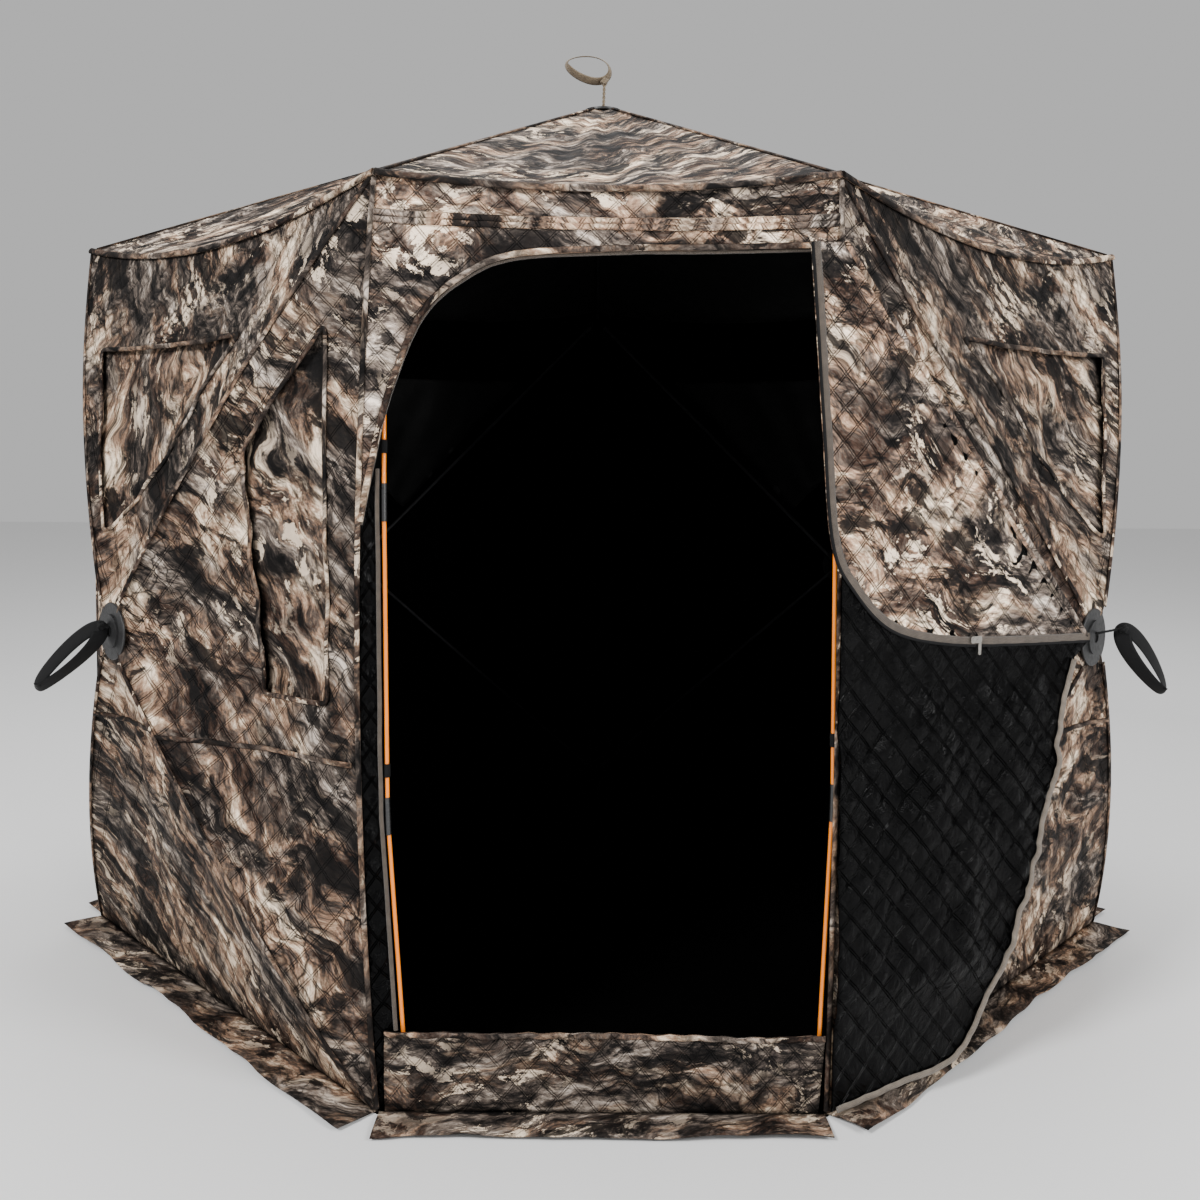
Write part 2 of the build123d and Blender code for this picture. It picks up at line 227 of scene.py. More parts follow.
# ---------------------------------------------------------------- materials
class Tree:
    def __init__(self, name):
        self.m = bpy.data.materials.new(name)
        self.m.use_nodes = True
        self.t = self.m.node_tree
        self.b = self.t.nodes["Principled BSDF"]

    def link(self, a, b):
        self.t.links.new(a, b)

    def put(self, sock, v):
        if isinstance(v, bpy.types.NodeSocket):
            self.link(v, sock)
        elif v is not None:
            sock.default_value = v

    def math(self, op, a, b=None, c=None, clamp=False):
        n = self.t.nodes.new("ShaderNodeMath")
        n.operation, n.use_clamp = op, clamp
        for s, v in zip(n.inputs, (a, b, c)):
            self.put(s, v)
        return n.outputs[0]

    def noise(self, vec, scale, detail=6, rough=0.6, distort=0.0, out="Fac"):
        n = self.t.nodes.new("ShaderNodeTexNoise")
        self.put(n.inputs["Vector"], vec)
        n.inputs["Scale"].default_value = scale
        n.inputs["Detail"].default_value = detail
        n.inputs["Roughness"].default_value = rough
        n.inputs["Distortion"].default_value = distort
        return n.outputs[out]

    def ramp(self, fac, stops, mode="LINEAR"):
        n = self.t.nodes.new("ShaderNodeValToRGB")
        n.color_ramp.interpolation = mode
        e = n.color_ramp.elements
        while len(e) < len(stops):
            e.new(0.5)
        for el, (p, c) in zip(e, stops):
            el.position = p
            el.color = (c, c, c, 1) if isinstance(c, (int, float)) else (*c, 1)
        self.put(n.inputs[0], fac)
        return n.outputs[0]

    def mix(self, fac, a, b, mode="MIX"):
        n = self.t.nodes.new("ShaderNodeMix")
        n.data_type, n.blend_type = "RGBA", mode
        self.put(n.inputs[0], fac)
        self.put(n.inputs[6], a if isinstance(a, bpy.types.NodeSocket) else (*a, 1))
        self.put(n.inputs[7], b if isinstance(b, bpy.types.NodeSocket) else (*b, 1))
        return n.outputs[2]

    def mapping(self, vec, scale=(1, 1, 1), rot=0.0, loc=(0, 0, 0)):
        n = self.t.nodes.new("ShaderNodeMapping")
        self.put(n.inputs[0], vec)
        n.inputs[1].default_value = loc
        n.inputs[2].default_value = (0, 0, rot)
        n.inputs[3].default_value = scale
        return n.outputs[0]

    def uv(self):
        n = self.t.nodes.new("ShaderNodeUVMap")
        n.uv_map = "cloth"
        return n.outputs[0]

    def obj(self):
        return self.t.nodes.new("ShaderNodeTexCoord").outputs["Object"]

    def xyz(self, vec):
        n = self.t.nodes.new("ShaderNodeSeparateXYZ")
        self.put(n.inputs[0], vec)
        return n.outputs

    def vadd(self, a, b, k):
        n = self.t.nodes.new("ShaderNodeVectorMath")
        n.operation = "MULTIPLY_ADD"
        self.put(n.inputs[0], b)
        n.inputs[1].default_value = (k, k, k)
        self.put(n.inputs[2], a)
        return n.outputs[0]

    def bump(self, height, strength=0.5, dist=0.002, prev=None):
        n = self.t.nodes.new("ShaderNodeBump")
        n.inputs["Strength"].default_value = strength
        n.inputs["Distance"].default_value = dist
        self.put(n.inputs["Height"], height)
        if prev:
            self.put(n.inputs["Normal"], prev)
        return n.outputs[0]

    def quilt_lines(self, uv, gap=0.055):
        """0 on two stitch lines beside each diamond seam, 1 elsewhere."""
        s = self.xyz(uv)
        u, v = self.math("DIVIDE", s[0], QP), self.math("DIVIDE", s[1], QQ)
        out = None
        for op in ("ADD", "SUBTRACT"):
            d = self.math("PINGPONG", self.math(op, u, v), 0.5)   # 0 on the seam
            e = self.math("ABSOLUTE", self.math("SUBTRACT", d, gap))
            line = self.math("SUBTRACT", 1.0, self.math("DIVIDE", e, 0.03), clamp=True)
            out = line if out is None else self.math("MAXIMUM", out, line)
        return out

    def done(self, color, rough, normal=None, sheen=0.0, coat=0.0, metal=0.0, spec=0.5):
        self.put(self.b.inputs["Base Color"], color if isinstance(color, bpy.types.NodeSocket) else (*color, 1))
        self.put(self.b.inputs["Roughness"], rough)
        if normal:
            self.put(self.b.inputs["Normal"], normal)
        self.b.inputs["Sheen Weight"].default_value = sheen
        self.b.inputs["Coat Weight"].default_value = coat
        self.b.inputs["Metallic"].default_value = metal
        self.b.inputs["Specular IOR Level"].default_value = spec
        return self.m


CREAM, LIGHT, TAN, BROWN, GREY, DARK, BLACK = (
    (0.70, 0.60, 0.45), (0.42, 0.305, 0.185), (0.27, 0.155, 0.070), (0.095, 0.050, 0.024), (0.135, 0.112, 0.095),
    (0.020, 0.017, 0.017), (0.006, 0.0055, 0.006))


def camo(name, rot=0.6, stretch=2.0, painted_light_gain=1.0, quilted=0.6, seams=(), seed=0.0, fine=1.0, streaks=0.6, lines=0.18):
    t = Tree(name)
    uv = t.uv()
    p = t.mapping(uv, loc=(seed, seed * 0.7, 0))
    warp = t.noise(p, 3.2, 3, 0.55, out="Color")
    p = t.vadd(p, warp, 0.22)
    s = t.mapping(t.mapping(p, rot=rot), scale=(1.0 * fine, stretch * fine, 1))
    s2 = t.mapping(t.mapping(p, rot=rot - 0.35, loc=(3.1, 1.7, 0)), scale=(1.0 * fine, stretch * 1.3 * fine, 1))
    base = t.ramp(t.noise(s, 6.0, 12, 0.74, 0.25), [(0.40, DARK), (0.45, BROWN), (0.485, GREY), (0.52, TAN),
                                              (0.56, LIGHT), (0.61, CREAM)])
    region = t.ramp(t.noise(s2, 3.2, 8, 0.62, 0.3), [(0.45, 0.0), (0.54, 1.0)])
    cool = t.ramp(t.noise(s2, 7.5, 12, 0.74, 0.2), [(0.40, DARK), (0.46, (0.055, 0.048, 0.044)), (0.51, GREY),
                                               (0.56, (0.26, 0.225, 0.19)), (0.62, (0.50, 0.455, 0.40))])
    col = t.mix(region, base, cool)
    # fine bark streaks
    st = t.mapping(t.mapping(p, rot=rot + 0.12), scale=(1.6 * fine, 9.0 * fine, 1))
    streak = t.ramp(t.noise(st, 9.0, 8, 0.75, 0.1), [(0.40, 0.22), (0.49, 1.0), (0.60, 1.4)])
    col = t.mix(streaks, col, t.mix(1.0, col, streak, "MULTIPLY"))
    # cream flakes with hard edges
    flake = t.ramp(t.noise(s, 13.0, 12, 0.72, 0.1), [(0.552, 0.0), (0.567, 1.0)])
    where = t.ramp(t.noise(p, 3.4, 3, 0.5), [(0.46, 0.0), (0.58, 1.0)])
    col = t.mix(t.math("MULTIPLY", t.math("MULTIPLY", flake, where), 0.85), col, CREAM)
    # dark patches and cracks
    patchy = t.ramp(t.noise(s2, 4.4, 12, 0.72, 0.3), [(0.425, 1.0), (0.46, 0.0)])
    col = t.mix(t.math("MULTIPLY", patchy, 0.88), col, DARK)
    v = t.t.nodes.new("ShaderNodeTexVoronoi")
    v.feature = "DISTANCE_TO_EDGE"
    t.put(v.inputs["Vector"], t.vadd(s, t.noise(p, 14, 4, 0.6, out="Color"), 0.05))
    v.inputs["Scale"].default_value = 20
    crack = t.math("MULTIPLY", t.ramp(v.outputs["Distance"], [(0.0, 1.0), (0.07, 0.0)]),
                   t.ramp(t.noise(p, 5, 4, 0.6), [(0.45, 0.0), (0.6, 1.0)]))
    col = t.mix(t.math("MULTIPLY", crack, 0.85), col, BLACK)
    g = t.t.nodes.new("ShaderNodeGamma")
    t.put(g.inputs[0], col)
    g.inputs[1].default_value = 1.5
    hs = t.t.nodes.new("ShaderNodeHueSaturation")
    hs.inputs["Saturation"].default_value = 0.66
    t.link(g.outputs[0], hs.inputs["Color"])
    # painted light and shade: the per-part gain scales the whole camo colour, lighter on the roof, header, door flap
    # and skirt, darker on the window covers, seam bindings and threshold
    col = t.mix(1.0, hs.outputs[0], (1.40 * painted_light_gain, 1.30 * painted_light_gain, 1.24 * painted_light_gain), "MULTIPLY")
    xyz = t.xyz(uv)
    normal = t.bump(t.noise(t.mapping(uv, rot=0.4), 26, 6, 0.62, 0.8), 0.5, 0.008)
    normal = t.bump(t.noise(uv, 75, 5, 0.6), 0.35, 0.003, normal)
    if quilted:
        q = t.quilt_lines(uv)
        col = t.mix(t.math("MULTIPLY", q, lines), col, BLACK)
        normal = t.bump(t.math("SUBTRACT", 1.0, q), quilted, 0.004, normal)
    for z in seams:
        d = t.math("ABSOLUTE", t.math("SUBTRACT", xyz[1], z))
        line = t.math("SUBTRACT", 1.0, t.math("DIVIDE", t.math("ABSOLUTE", t.math("SUBTRACT", d, 0.008)), 0.003), clamp=True)
        col = t.mix(t.math("MULTIPLY", line, 0.7), col, BLACK)
        normal = t.bump(t.math("SUBTRACT", 1.0, t.math("DIVIDE", d, 0.01), clamp=True), 0.8, 0.004, normal)
    weave = t.math("MULTIPLY", t.math("SINE", t.math("MULTIPLY", xyz[0], 3600.0)), t.math("SINE", t.math("MULTIPLY", xyz[1], 3600.0)))
    normal = t.bump(weave, 0.12, 0.0004, normal)
    return t.done(col, t.ramp(t.noise(uv, 25, 4), [(0.3, 0.62), (0.7, 0.86)]), normal, spec=0.12)


def black_quilt(name, rough=0.3, base=(0.007, 0.007, 0.008), seed=0.0, spec=0.45):
    t = Tree(name)
    uv = t.uv()
    q = t.quilt_lines(uv, 0.05)
    folds = t.noise(t.mapping(uv, scale=(1, 0.6, 1), loc=(seed, 0, 0)), 26, 5, 0.62, 1.2)
    normal = t.bump(folds, 0.75, 0.012)
    normal = t.bump(t.noise(t.mapping(uv, scale=(1.0, 0.4, 1), rot=0.5), 70, 3, 0.6, 0.8), 0.4, 0.004, normal)
    normal = t.bump(t.math("SUBTRACT", 1.0, q), 0.9, 0.005, normal)
    col = t.mix(t.math("MULTIPLY", q, 0.6), base, (0.001, 0.001, 0.001))
    return t.done(col, t.ramp(t.noise(uv, 40, 3), [(0.3, rough), (0.7, rough + 0.15)]), normal, spec=spec)


def webbing(name, color, rib=0.0022, rough=0.75, sheen=0.2, spec=0.3):
    t = Tree(name)
    uv = t.uv()
    s = t.xyz(uv)
    ribs = t.math("SINE", t.math("MULTIPLY", s[0], 2 * math.pi / rib))
    cross = t.math("SINE", t.math("MULTIPLY", s[1], 2 * math.pi / (rib * 1.3)))
    w = t.math("MULTIPLY", ribs, cross)
    col = t.mix(t.ramp(w, [(0.2, 0.0), (0.8, 1.0)]), tuple(c * 0.55 for c in color), color)
    col = t.mix(t.ramp(t.noise(uv, 60, 4), [(0.4, 0.0), (0.7, 0.35)]), col, tuple(min(1, c * 1.5) for c in color))
    return t.done(col, rough, t.bump(w, 0.7, 0.0008), sheen=sheen, spec=spec)


def plain(name, color, rough=0.5, metal=0.0, scale=60.0, vary=0.25, bump=0.2, dist=0.0006, coat=0.0, stretch=(1, 1, 1)):
    """Moulded, painted or metal surfaces: colour variation, wear and a fine surface grain in object space."""
    t = Tree(name)
    o = t.mapping(t.obj(), scale=stretch)
    n = t.noise(o, scale, 6, 0.6)
    wear = t.ramp(t.noise(o, scale * 0.35, 5, 0.7), [(0.45, 0.0), (0.7, 1.0)])
    col = t.mix(t.math("MULTIPLY", wear, vary), color, tuple(min(1, c * 1.5 + 0.02) for c in color))
    col = t.mix(t.math("MULTIPLY", t.ramp(n, [(0.35, 1.0), (0.5, 0.0)]), vary), col, tuple(c * 0.5 for c in color))
    r = t.ramp(n, [(0.3, max(0.02, rough - 0.1)), (0.7, min(1, rough + 0.12))])
    return t.done(col, r, t.bump(t.noise(o, scale * 8, 3, 0.5), bump, dist), coat=coat, metal=metal)


# ---------------------------------------------------------------- the finishes
# one camo fabric in lighter and darker copies per part through the per-part gain: painted light and shade
M_CAMO = camo("camo_quilt", rot=0.95, quilted=1.0, lines=0.28)
M_SEAM = camo("camo_seam", rot=0.4, quilted=0.0, painted_light_gain=0.9, seed=1.4)
M_ROOF = camo("camo_roof", rot=-0.35, painted_light_gain=1.3, stretch=2.4, fine=1.25, quilted=0.5, seed=4.3, streaks=0.7, lines=0.12)
M_SKIRT = camo("camo_skirt", rot=0.5, quilted=0.0, painted_light_gain=1.1, seed=9.1)
M_WINDOW = camo("camo_window", rot=1.2, quilted=0.0, painted_light_gain=0.9, seed=6.2, streaks=0.9)
M_HEAD = camo("camo_header", rot=0.3, quilted=1.0, painted_light_gain=1.7, seed=2.2, lines=0.28)
M_DOOR = camo("camo_door", rot=0.5, quilted=1.2, painted_light_gain=1.5, seed=12.4, lines=0.3)
M_THRESH = camo("camo_threshold", rot=0.2, quilted=0.9, painted_light_gain=0.85, seed=15.7)
M_BLACK = black_quilt("black_quilt", rough=0.15, base=(0.0004, 0.0004, 0.0005), spec=0.07)
M_LINING = black_quilt("wall_lining", rough=0.8, base=(0.002, 0.002, 0.002), seed=3.0, spec=0.04)
M_FILM = plain("roof_lining", (0.004, 0.004, 0.004), 0.65, scale=30, bump=0.4, dist=0.002)
M_ZIP = webbing("zip_tape", (0.10, 0.078, 0.06), 0.003)
M_HEM = webbing("hem_binding", (0.20, 0.165, 0.13), 0.003)
M_STRAP = webbing("black_webbing", (0.006, 0.006, 0.0065), 0.0026, 0.6, 0.02, 0.15)
M_STRAP2 = webbing("tan_webbing", (0.30, 0.23, 0.15), 0.0026, 0.7)
M_ORANGE = plain("orange_fibreglass", (0.95, 0.24, 0.01), 0.32, scale=40, vary=0.22, bump=0.12, coat=0.35, stretch=(4, 4, 0.35))
M_FERRULE = plain("ferrule_metal", (0.06, 0.06, 0.06), 0.35, metal=0.9, scale=90, stretch=(1, 1, 6), bump=0.1)
M_TAB = webbing("tab_webbing", (0.007, 0.007, 0.0075), 0.0026, 0.7, 0.02, 0.15)
M_PIN = plain("pin_steel", (0.55, 0.55, 0.56), 0.25, metal=1.0, scale=200, bump=0.08)
M_ROD = plain("rod_fibreglass", (0.025, 0.025, 0.027), 0.4, scale=50, vary=0.5, bump=0.15, coat=0.2, stretch=(3, 3, 0.5))
M_HUB = plain("hub_plastic", (0.009, 0.009, 0.0095), 0.42, scale=120, vary=0.4, bump=0.25)
M_ZMETAL = plain("zip_metal", (0.35, 0.33, 0.30), 0.3, metal=1.0, scale=150, bump=0.15)


# ---------------------------------------------------------------- walls
def unit(v):
    v = np.asarray(v, float)
    return v / np.linalg.norm(v)


CORNER_BOW = {"FL": np.array([-1.0, -0.05, 0]), "FR": np.array([1.0, 0.3, 0])}


def corner_bow(p):
    """The front corner seams bow outward at mid-height; added to row-frame points."""
    out = p.copy()
    for c, key, far in ((FL, "FL", 0.034), (FR, "FR", 0.010)):
        d = np.hypot(p[:, 0] - c[0], p[:, 1] - c[1])
        w = np.exp(-(d / 0.22) ** 2) * np.sin(np.pi * np.clip(p[:, 2] / H, 0, 1)) ** 0.8 * far
        out += w[:, None] * CORNER_BOW[key][None]
    return out


class Wall:
    def __init__(self, name, a, b, seed):
        self.name, self.a, self.b = name, a, b
        self.len = float(np.linalg.norm(b - a))
        self.u = (b - a) / self.len
        self.n = np.array([self.u[1], -self.u[0]])
        self.mid = self.len / 2
        self.seed = seed

    def lam(self, x, z):
        a = np.abs(x - self.mid) / self.mid
        b = np.where(z > HUB_Z, (z - HUB_Z) / (H - HUB_Z), (HUB_Z - z) / HUB_Z)
        return np.maximum(a, b), np.minimum(a, b)

    def place(self, x, z, lift=0.0, puff=0.0):
        x, z = np.asarray(x, float), np.asarray(z, float)
        lam, low = self.lam(x, z)
        ridge = np.where(lam > 1e-6, low / np.maximum(lam, 1e-6), 1.0)      # 1 on a rod, 0 mid-facet
        out = np.minimum(OUT * (1 - lam), OUT * 0.93)
        bow = 4 * lam * (1 - lam)
        rod = np.where((x < self.mid) & (self.name == "right"), 0.001, 0.030)
        out = out + bow * (rod * ridge ** 3 - 0.010 * (1 - ridge ** 2))
        # slack wrinkles, strongest towards the edges and corners
        r = fbm(x * 3.1 + self.seed, z * 2.6, self.seed, 3) * np.where((x < self.mid) & (self.name == "right"), 0.5, 1.0)
        out = out + (0.014 * r + 0.003 * fbm(x * 13, z * 10, self.seed + 5, 2)) * np.clip(4 * lam * (1 - lam), 0, 1) * (1 - ridge ** 6)
        ang = np.arctan2(z - HUB_Z, x - self.mid)
        out = out + 0.004 * np.sin(ang * 22 + 3 * vnoise(x * 3, z * 3, 5)) * np.clip(1 - lam, 0, 1) * lam * 3 * (1 - ridge ** 6)
        fade = np.clip((1 - lam) / 0.02, 0, 1) * np.clip((1 - ridge) * lam / 0.02, 0, 1)
        out = out + (quilt(x, z, puff) if puff else 0) * fade + lift
        s = np.clip(x / self.len, 0, 1)
        f = np.clip((z - 1.30) / (H - 1.30), 0, 1)
        f = f * f * (3 - 2 * f)
        sag = (0.062 if self.len < 1.5 else 0.09) * 4 * s * (1 - s)
        p = np.empty((len(x), 3))
        p[:, :2] = self.a[None] + self.u[None] * x[:, None] + self.n[None] * out[:, None]
        p[:, 2] = z - sag * f
        # front corner seams bowed outward at mid-height
        return corner_bow(p)

    def row(self, x, z, out=0.0):
        q = self.a + self.u * x + self.n * out
        return (float(q[0]), float(q[1]), float(z))


walls = {n: Wall(n, a, b, s) for n, a, b, s in (
    ("left", LC, FL, 3), ("right", FR, RC, 11), ("back_left", BC, LC, 23), ("back_right", RC, BC, 31))}


def window_outlines(w, grow=0.0):
    upper = [(0.330, 1.430), (0.968, 1.430), (0.716, 1.018)]
    tall = [(0.073, 1.423), (0.257, 1.193), (0.250, 0.737), (0.068, 0.738)]
    k = (w.len - 0.2) / 1.011 if w.len > 1.3 else 1.0
    upper = [(0.1 + (x - 0.1) * k, z) for x, z in upper]
    flip = w.name in ("left", "back_left")
    out = []
    for pts in (upper, tall):
        cx, cz = sum(p[0] for p in pts) / len(pts), sum(p[1] for p in pts) / len(pts)
        g = []
        for x, z in pts:
            d = math.hypot(x - cx, z - cz)
            f = (d + grow) / d
            x, z = cx + (x - cx) * f, cz + (z - cz) * f
            g.append((w.len - x if flip else x, z))
        out.append(g)
    return out


def clip_loop(loop, facet):
    """The part of loop inside a convex facet (Sutherland-Hodgman)."""
    out = [tuple(p) for p in loop]
    c = np.mean(facet, 0)
    for i in range(len(facet)):
        a, b = np.array(facet[i]), np.array(facet[(i + 1) % len(facet)])
        e = b - a
        side = lambda p: e[0] * (p[1] - a[1]) - e[1] * (p[0] - a[0])
        s = 1 if side(c) > 0 else -1
        res = []
        for j in range(len(out)):
            p, q = np.array(out[j]), np.array(out[(j + 1) % len(out)])
            dp, dq = s * side(p), s * side(q)
            if dp >= 0:
                res.append(tuple(p))
            if dp * dq < 0:
                res.append(tuple(p + (q - p) * dp / (dp - dq)))
        out = res
        if len(out) < 3:
            return []
    return out


def round_corners(loop, r=0.018, k=3):
    out = []
    n = len(loop)
    for i in range(n):
        p, a, b = np.array(loop[i]), np.array(loop[i - 1]), np.array(loop[(i + 1) % n])
        da, db = unit(a - p), unit(b - p)
        q = min(r, np.linalg.norm(a - p) / 3, np.linalg.norm(b - p) / 3)
        s, e = p + da * q, p + db * q
        for t in np.linspace(0, 1, k + 1):
            out.append(tuple((1 - t) ** 2 * s + 2 * t * (1 - t) * p + t * t * e))
    return out


def area3(obj):
    return sum(p.area for p in obj.data.polygons)


STEP = 0.0135
hub_ends = {}
for w in walls.values():
    hub = (w.mid, HUB_Z)
    cor = [(0.0, 0.0), (w.len, 0.0), (w.len, H), (0.0, H)]
    windows = [round_corners(l) for l in window_outlines(w)]
    hub_row = np.array(w.row(w.mid, HUB_Z, OUT))
    edge_mid = {"low": (w.mid, 0.0), "end": (w.len, HUB_Z), "high": (w.mid, H), "start": (0.0, HUB_Z)}
    facets = {"low": (cor[0], cor[1], hub), "end": (cor[1], cor[2], hub), "high": (cor[2], cor[3], hub), "start": (cor[3], cor[0], hub)}
    w.blends = {}
    for key, tri in facets.items():
        holes = []
        for l in windows:
            c = np.mean(l, 0)
            if inside(np.array([c[0]]), np.array([c[1]]), tri)[0]:
                holes.append(l)
        o = patch(f"cloth_{w.name}_{key}", tri, holes, STEP, lambda x, z: w.place(x, z, puff=0.0036))
        e = np.array(w.row(*edge_mid[key]))
        w.blends[key] = (tuple(e), tuple(e + (hub_row - e) / 0.94))
        both(o, M_CAMO, M_LINING)
        a = area3(o)
        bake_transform(o)
        if key == "high":
            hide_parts("wall_" + w.name)


# piping and seams that lie on a wall facet follow that facet
def on_wall(w, name, pts, wide, high, mat, lift=0.003, closed=False):
    pts = np.array(pts, float)
    p = w.place(pts[:, 0], pts[:, 1], lift=lift, puff=0.0)
    o = tube(name, p, wide, high, (*w.n, 0), closed=closed, mat=mat)
    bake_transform(o)
    return o


def line(a, b, n):
    a, b = np.array(a, float), np.array(b, float)
    return a[None] + (b - a)[None] * np.linspace(0, 1, n)[:, None]


def in_facet(w, x, z):
    a, b = (x - w.mid) / w.mid, (z - HUB_Z) / (H - HUB_Z if z > HUB_Z else HUB_Z)
    if abs(a) > abs(b):
        return "end" if a > 0 else "start"
    return "high" if b > 0 else "low"


for w in walls.values():
    corners2 = [(0.0, 0.0), (w.len, 0.0), (w.len, H), (0.0, H)]
    for i, (c, key) in enumerate(zip(corners2, ("low", "low", "high", "high"))):
        pts = line(np.array(c) + (np.array([w.mid, HUB_Z]) - np.array(c)) * 0.01,
                   np.array(c) + (np.array([w.mid, HUB_Z]) - np.array(c)) * 0.93, 60)
        on_wall(w, f"rod_seam_{w.name}_{i}", pts, 0.011, 0.005, M_SEAM, lift=0.0005)
    for j, l in enumerate(window_outlines(w, 0.0)):
        c = np.mean(l, 0)
        key = in_facet(w, c[0], c[1])
        ring = dense(round_corners(l, 0.018, 5), 0.02)
        on_wall(w, f"window_binding_{w.name}_{j}", ring, 0.010, 0.006, M_SEAM, lift=0.002, closed=True)
        # the cover behind the opening, a camouflage sheet with its own slack
        g = round_corners(window_outlines(w, 0.022)[j], 0.02)
        tri = [tuple(p) for p in {"low": (corners2[0], corners2[1], (w.mid, HUB_Z)), "end": (corners2[1], corners2[2], (w.mid, HUB_Z)),
                                  "high": (corners2[2], corners2[3], (w.mid, HUB_Z)), "start": (corners2[3], corners2[0], (w.mid, HUB_Z))}[key]]
        g = clip_loop(g, tri)

        def place_cover(x, z, w=w, j=j):
            wob = 0.004 * fbm(x * 9 + j, z * 3, 7, 2)
            return w.place(x, z, lift=-0.0145 + 0, puff=0.0) + (wob[:, None] * np.array([*w.n, 0])[None])
        o = patch(f"window_cover_{w.name}_{j}", g, [], 0.022, place_cover)
        both(o, M_WINDOW, M_FILM, 0.0012)
        lo, hi = np.array(g).min(0), np.array(g).max(0)
        a = area3(o)
        wd, ht = hi - lo
        k = max(1.0, math.sqrt(a / (wd * ht)))
        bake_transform(o)
        if j == 0:
            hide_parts("window_covers_" + w.name)
    # belt seam across the wall
    zb = 0.635
    xs = {}
    n = 90
    pts = line((0.012, zb), (w.len - 0.012, zb), n)
    for k in range(n):
        xs.setdefault(in_facet(w, *pts[k]), []).append(k)
    for key, idx in xs.items():
        if key == "high":
            continue
        groups = np.split(np.array(idx), np.where(np.diff(idx) > 1)[0] + 1)
        for q, grp in enumerate(groups):
            if len(grp) > 3:
                lo, hi = max(grp[0] - 1, 0), min(grp[-1] + 1, n - 1)
                on_wall(w, f"belt_seam_{w.name}_{key}_{q}", pts[lo:hi + 1], 0.010, 0.003, M_SEAM, lift=0.003)

# corner seams between the walls
for name, c, adj in (("front_left", FL, walls["left"]), ("front_right", FR, walls["right"]), ("right", RC, walls["right"]),
                     ("back", BC, walls["back_right"]), ("left", LC, walls["left"])):
    z = np.linspace(0.01, H - 0.01, 70)
    p = corner_bow(np.stack([np.full_like(z, c[0]), np.full_like(z, c[1]), z], 1))
    o = tube(f"corner_seam_{name}", p, 0.011, 0.008, (*unit(c - PEAK[:2]), 0), mat=M_SEAM)
    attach(o, "root")


# ---------------------------------------------------------------- roof
RISE = 2.04 - H
eaves = {"front": (FL, FR, 0.027), "front_right": (FR, RC, 0.062), "back_right": (RC, BC, 0.09),
         "back_left": (BC, LC, 0.09), "front_left": (LC, FL, 0.062)}


def roof_place(a, b, sag, seed):
    L = float(np.linalg.norm(b - a))
    u = (b - a) / L
    n = np.array([-u[1], u[0]])                       # inward
    px = float((PEAK[:2] - a) @ u)
    depth = float((PEAK[:2] - a) @ n)

    def place(x, y):
        """x along the eave from a, y inward in plan."""
        x, y = np.asarray(x, float), np.asarray(y, float)
        lam = 1 - np.clip(y / depth, 0, 1)
        xe = np.where(lam > 1e-4, px + (x - px) / np.maximum(lam, 1e-4), px)    # where this ray meets the eave
        s = np.clip(xe / L, 0, 1)
        z = H + RISE * np.minimum(1 - lam, 0.95)
        ridge = np.abs(2 * s - 1)
        bow = 4 * lam * (1 - lam)
        z = z + bow * (0.001 * ridge ** 4 - 0.020 * (1 - ridge ** 2))
        f = np.clip((lam - 0.45) / 0.55, 0, 1)
        z = z - sag * 4 * s * (1 - s) * f * f * (3 - 2 * f)
        r = fbm(x * 2.4 + seed, y * 3.0, seed, 3)
        fade = np.clip(bow * 2, 0, 1) * (1 - ridge ** 6)
        z = z + (0.007 * r + 0.004 * np.sin(s * 34 + 2 * vnoise(x * 2, y * 3, seed))) * fade
        p = np.empty((len(x), 3))
        p[:, :2] = a[None] + u[None] * x[:, None] + n[None] * y[:, None]
        p[:, 2] = z
        return corner_bow(p)
    return place, L, px, depth, u, n


for i, (name, (a, b, sag)) in enumerate(eaves.items()):
    place, L, px, depth, u, n = roof_place(a, b, sag, 40 + i * 7)
    o = patch(f"roof_cloth_{name}", [(0.0, 0.0), (L, 0.0), (px, depth)], [], STEP * 1.3, place)
    both(o, M_ROOF, M_FILM, 0.003)
    if o.data.polygons[0].normal.z < 0:
        o.data.flip_normals()
    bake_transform(o)
    if i == 0:
        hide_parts("roof")
    # ridge seam from this eave's first corner, and the eave's rolled edge
    t = np.linspace(0.01, 0.94, 60)
    q = place(px * t, depth * t)
    s = tube(f"ridge_seam_{name}", q + np.array([0, 0, 0.001]), 0.011, 0.005, (0, 0, 1), mat=M_SEAM)
    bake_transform(s)
    t = np.linspace(0, 1, 80)
    q = place(L * t, np.full_like(t, 0.0))
    q[:, :2] -= n[None] * 0.004
    s = tube(f"eave_edge_{name}", q, 0.016, 0.009, (-n[0], -n[1], 0.6), mat=M_SEAM)
    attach(s, "root")

# ---------------------------------------------------------------- front: header, threshold, jamb
def front_place(puff=0.004, seed=0, depth=0.0, sag=0.027, wob=0.004):
    def place(x, z):
        x, z = np.asarray(x, float), np.asarray(z, float)
        s = np.clip(x / 0.81, 0, 1)
        f = np.clip((z - 1.45) / (H - 1.45), 0, 1)
        edge = np.clip(np.minimum(s, 1 - s) / 0.03, 0, 1) * np.clip((H - z) / 0.02, 0, 1) * np.clip(z / 0.02, 0, 1)
        p = np.empty((len(x), 3))
        p[:, 0] = FL[0] + x
        p[:, 1] = Y0 + depth - edge * (quilt(x, z, puff) + wob * fbm(x * 5, z * 5, seed, 3))
        p[:, 2] = z - sag * 4 * s * (1 - s) * f * f
        return corner_bow(p)
    return place


